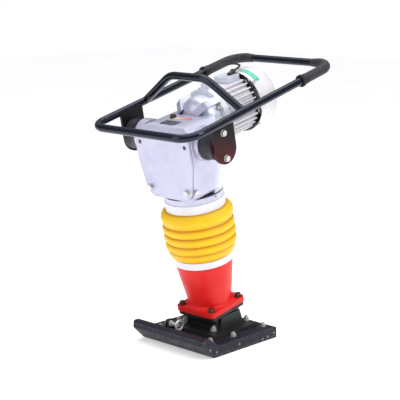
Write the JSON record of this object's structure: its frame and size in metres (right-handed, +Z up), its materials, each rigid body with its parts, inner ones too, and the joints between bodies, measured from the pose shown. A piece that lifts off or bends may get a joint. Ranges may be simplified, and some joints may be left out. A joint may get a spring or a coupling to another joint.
{
  "type": "jumping jack rammer",
  "caption": "Upright electric tamping rammer: sprung foot with flat shoe, yellow bellows over the leg, finned motor driving a crank, and a tubular loop handle on rubber mounts.",
  "frame": {"origin": "middle of the flat part of the sole, on the ground", "axes": "+Z up, -Y to the front, where the shoe's nose turns up, +X completes the right-handed frame; the leg leans 11.8 degrees towards -Y"},
  "size_m": [0.44, 0.6651, 0.8606],
  "materials": {
    "sole_steel": "worn bare steel plate",
    "board_wood": "laminated hardwood, painted dark grey and weathered",
    "zinc": "bright zinc plating",
    "black_paint": "satin black paint on a fabricated bracket",
    "red_paint": "gloss red paint on a casting",
    "machined_steel": "ground steel, oiled",
    "gear_steel": "hardened steel, oiled",
    "spring_steel": "shot-peened spring wire",
    "bronze": "plain bronze bush",
    "brown_plating": "dark bronze-coloured plating",
    "white_band": "white coated strap",
    "yellow_rubber": "moulded yellow rubber, satin",
    "casting": "painted silver casting, fine grain",
    "motor_paint": "near-white paint on pressed and cast motor parts",
    "black_plastic": "matt black moulding",
    "black_rubber": "moulded black rubber",
    "copper": "enamelled copper wire",
    "lamination": "stacked steel sheet",
    "bearing_steel": "ground bearing races",
    "plate_dark": "thin dark printed-blank plate",
    "plate_steel": "dark steel plate",
    "tube_paint": "gloss blue-black paint on steel tube",
    "ear_paint": "satin brown-black paint on plate",
    "grip_rubber": "textured dark grey rubber sleeve"
  },
  "bodies": {
    "foot": {"sole_plate": "sole_steel", "shoe_board": "board_wood", "side_nails": "zinc", "board_bolts": "zinc", "foot_bracket": "black_paint", "bracket_nuts": "zinc", "transport_eye": "zinc", "spring_cylinder": "red_paint", "cylinder_sleeve": "machined_steel", "cylinder_cap": "machined_steel", "rod_bush": "bronze", "flange_bolts": "brown_plating", "lower_springs": "spring_steel", "upper_springs": "spring_steel", "lower_band": "white_band", "bellows": "yellow_rubber"},
    "machine": {"guide_cylinder": "casting", "guide_bolts": "zinc", "upper_band": "white_band", "crankcase": "casting", "gaskets": "black_rubber", "front_cover": "casting", "cover_bolts": "zinc", "filler_plug": "brown_plating", "drain_plug": "zinc", "data_plate": "plate_dark", "ball_bearings": "bearing_steel", "shaft_seal": "black_rubber", "motor_front_shield": "casting", "motor_frame": "motor_paint", "stator_core": "lamination", "stator_windings": "copper", "motor_rear_shield": "black_plastic", "motor_nuts": "zinc", "fan_cowl": "motor_paint", "cowl_screws": "zinc", "terminal_box": "casting", "terminal_lid": "casting", "cable_gland": "black_plastic", "mount_inner_plates": "plate_steel", "shock_mounts": "black_rubber", "motor_cable": "black_rubber"},
    "crank": {"crank_gear": "gear_steel", "crank_shaft": "machined_steel"},
    "rotor": {"motor_shaft": "machined_steel", "drive_pinion": "gear_steel", "rotor_core": "lamination", "cooling_fan": "black_plastic"},
    "piston": {"piston_rod": "machined_steel", "spring_piston": "machined_steel", "wrist_pin": "machined_steel"},
    "conrod": {"connecting_rod": "gear_steel", "crank_pin": "machined_steel"},
    "handle": {"handle_loop": "tube_paint", "handle_arch": "tube_paint", "handle_brackets": "ear_paint", "mount_outer_plates": "plate_steel", "handle_bolts": "zinc", "handle_grips": "grip_rubber", "cable_boot": "black_rubber"}
  },
  "joints": [
    {"name": "leg_slide", "type": "slide", "parent": "foot", "child": "machine", "axis": [0, -0.2045, 0.9789], "range_m": [-0.03, 0.03], "stiffness_N_per_m": 25000, "springref_m": 0.0155, "deforming": ["bellows", "lower_springs", "upper_springs"]},
    {"name": "crank_spin", "type": "hinge", "parent": "machine", "child": "crank", "pos_m": [0, -0.06483, 0.59571], "axis": [0, 0.9789, 0.2045], "continuous": true},
    {"name": "rotor_spin", "type": "hinge", "parent": "machine", "child": "rotor", "pos_m": [0, 0.06014, 0.71632], "axis": [0, 0.9789, 0.2045], "continuous": true},
    {"name": "piston_slide", "type": "slide", "parent": "machine", "child": "piston", "axis": [0, -0.2045, 0.9789], "range_m": [0, 0.044], "deforming": ["lower_springs", "upper_springs"]},
    {"name": "conrod_swing", "type": "hinge", "parent": "piston", "child": "conrod", "pos_m": [0, -0.07014, 0.45975], "axis": [0, 0.9789, 0.2045], "range_deg": [-11.5, 11.5]},
    {"name": "handle_rock", "type": "hinge", "parent": "machine", "child": "handle", "pos_m": [0, -0.14428, 0.64347], "axis": [1, 0, 0], "range_deg": [-3, 3], "stiffness_Nm_per_rad": 600, "springref_deg": 0.49, "deforming": ["motor_cable"]}
  ],
  "couplings": [
    {"joint": "rotor_spin", "follows": "crank_spin", "ratio": -4.2857}
  ]
}
